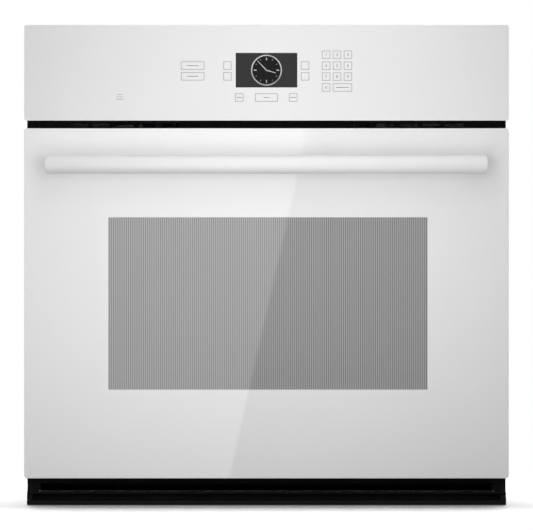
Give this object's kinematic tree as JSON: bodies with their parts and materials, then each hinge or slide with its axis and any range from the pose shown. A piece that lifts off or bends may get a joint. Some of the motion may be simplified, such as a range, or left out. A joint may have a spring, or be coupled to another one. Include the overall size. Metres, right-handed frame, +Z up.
{
  "type": "wall oven",
  "caption": "Built-in single wall oven: white glass control panel with a clock display over a drop-down glass door with a striped window, a long bar handle and a black vent trim.",
  "frame": {"origin": "middle of the box that bounds the oven, at the level it stands on (the base runners' underside)", "axes": "+X to the right of someone facing the door, +Y into the cabinet, +Z up; the door faces -Y"},
  "size_m": [0.7556, 0.683, 0.7493],
  "materials": {
    "white_glass": "gloss",
    "white_paint": "satin",
    "black_paint": "satin",
    "galvanised_steel": "satin",
    "enamel": "gloss",
    "stainless_steel": "satin",
    "chrome_wire": "polished",
    "element_sheath": "matte",
    "glass_fibre": "matte",
    "gasket_braid": "matte",
    "clear_glass": "gloss",
    "black_plastic": "satin",
    "circuit_board": "satin"
  },
  "bodies": {
    "oven_body": {"base_pan": "galvanised_steel", "base_runner_left": "galvanised_steel", "base_runner_right": "galvanised_steel", "left_side_panel": "galvanised_steel", "right_side_panel": "galvanised_steel", "top_cover": "galvanised_steel", "rear_cover": "galvanised_steel", "front_frame": "black_paint", "side_trim_left": "black_paint", "side_trim_right": "black_paint", "lower_vent_trim": "black_paint", "oven_cavity": "enamel", "cavity_insulation": "glass_fibre", "door_gasket": "gasket_braid", "broil_element": "element_sheath", "bake_element": "element_sheath", "convection_element": "element_sheath", "fan_cover": "enamel", "fan_motor": "galvanised_steel", "lamp_housing": "galvanised_steel", "lamp_lens": "clear_glass", "lamp_bulb": "clear_glass", "temperature_sensor": "stainless_steel", "bay_floor": "galvanised_steel", "relay_board": "circuit_board", "blower_housing": "galvanised_steel", "blower_motor": "black_plastic", "junction_box": "galvanised_steel", "conduit_fitting": "galvanised_steel", "control_panel_glass": "white_glass", "control_panel_housing": "black_paint", "display_module": "black_plastic", "touch_board": "circuit_board", "latch_bracket": "galvanised_steel", "latch_motor": "black_plastic", "door_switch_body": "black_plastic", "hinge_receiver_left": "galvanised_steel", "hinge_receiver_right": "galvanised_steel", "hinge_arm_left": "stainless_steel", "hinge_arm_right": "stainless_steel"},
    "door": {"door_outer_glass": "white_glass", "door_frame": "black_paint", "door_inner_panel": "enamel", "door_middle_glass": "clear_glass", "door_inner_glass": "clear_glass", "door_insulation": "glass_fibre", "handle_bar": "white_paint", "handle_post_left": "white_paint", "handle_post_right": "white_paint", "hinge_channel_left": "galvanised_steel", "hinge_channel_right": "galvanised_steel"},
    "hinge_rod_left": {"hinge_rod_left": "stainless_steel"},
    "hinge_rod_right": {"hinge_rod_right": "stainless_steel"},
    "latch_hook": {"latch_hook": "stainless_steel"},
    "switch_plunger": {"door_switch_plunger": "black_plastic"},
    "convection_fan": {"convection_fan": "stainless_steel"},
    "blower_wheel": {"blower_wheel": "stainless_steel"},
    "rack_lower": {"rack_lower": "chrome_wire"},
    "rack_middle": {"rack_middle": "chrome_wire"},
    "rack_upper": {"rack_upper": "chrome_wire"}
  },
  "joints": [
    {"name": "door_hinge", "type": "hinge", "parent": "oven_body", "child": "door", "pos_m": [0, -0.2721, 0.0558], "axis": [1, 0, 0], "range_deg": [0, 90]},
    {"name": "hinge_rod_left_slide", "type": "slide", "parent": "door", "child": "hinge_rod_left", "axis": [0, 0, 1], "range_m": [0, 0.0064]},
    {"name": "hinge_rod_right_slide", "type": "slide", "parent": "door", "child": "hinge_rod_right", "axis": [0, 0, 1], "range_m": [0, 0.0064]},
    {"name": "latch_turn", "type": "hinge", "parent": "oven_body", "child": "latch_hook", "pos_m": [0, -0.2195, 0.5615], "axis": [0, 0, 1], "range_deg": [0, 75]},
    {"name": "switch_press", "type": "slide", "parent": "oven_body", "child": "switch_plunger", "axis": [0, -1, 0], "range_m": [0, 0.004]},
    {"name": "convection_spin", "type": "hinge", "parent": "oven_body", "child": "convection_fan", "pos_m": [0, 0.2215, 0.316], "axis": [0, 1, 0], "continuous": true},
    {"name": "blower_spin", "type": "hinge", "parent": "oven_body", "child": "blower_wheel", "pos_m": [0.12, 0.0505, 0.6], "axis": [0, 0, 1], "continuous": true},
    {"name": "rack_lower_slide", "type": "slide", "parent": "oven_body", "child": "rack_lower", "axis": [0, -1, 0], "range_m": [0, 0.19]},
    {"name": "rack_middle_slide", "type": "slide", "parent": "oven_body", "child": "rack_middle", "axis": [0, -1, 0], "range_m": [0, 0.27]},
    {"name": "rack_upper_slide", "type": "slide", "parent": "oven_body", "child": "rack_upper", "axis": [0, -1, 0], "range_m": [0, 0.33]}
  ],
  "couplings": [
    {"joint": "hinge_rod_left_slide", "follows": "door_hinge", "m_per_rad": 0.004},
    {"joint": "hinge_rod_right_slide", "follows": "door_hinge", "m_per_rad": 0.004},
    {"joint": "switch_press", "follows": "door_hinge", "m_per_rad": 0.0025},
    {"joint": "rack_lower_slide", "follows": "door_hinge", "m_per_rad": 0.12},
    {"joint": "rack_middle_slide", "follows": "door_hinge", "m_per_rad": 0.17},
    {"joint": "rack_upper_slide", "follows": "door_hinge", "m_per_rad": 0.21}
  ]
}
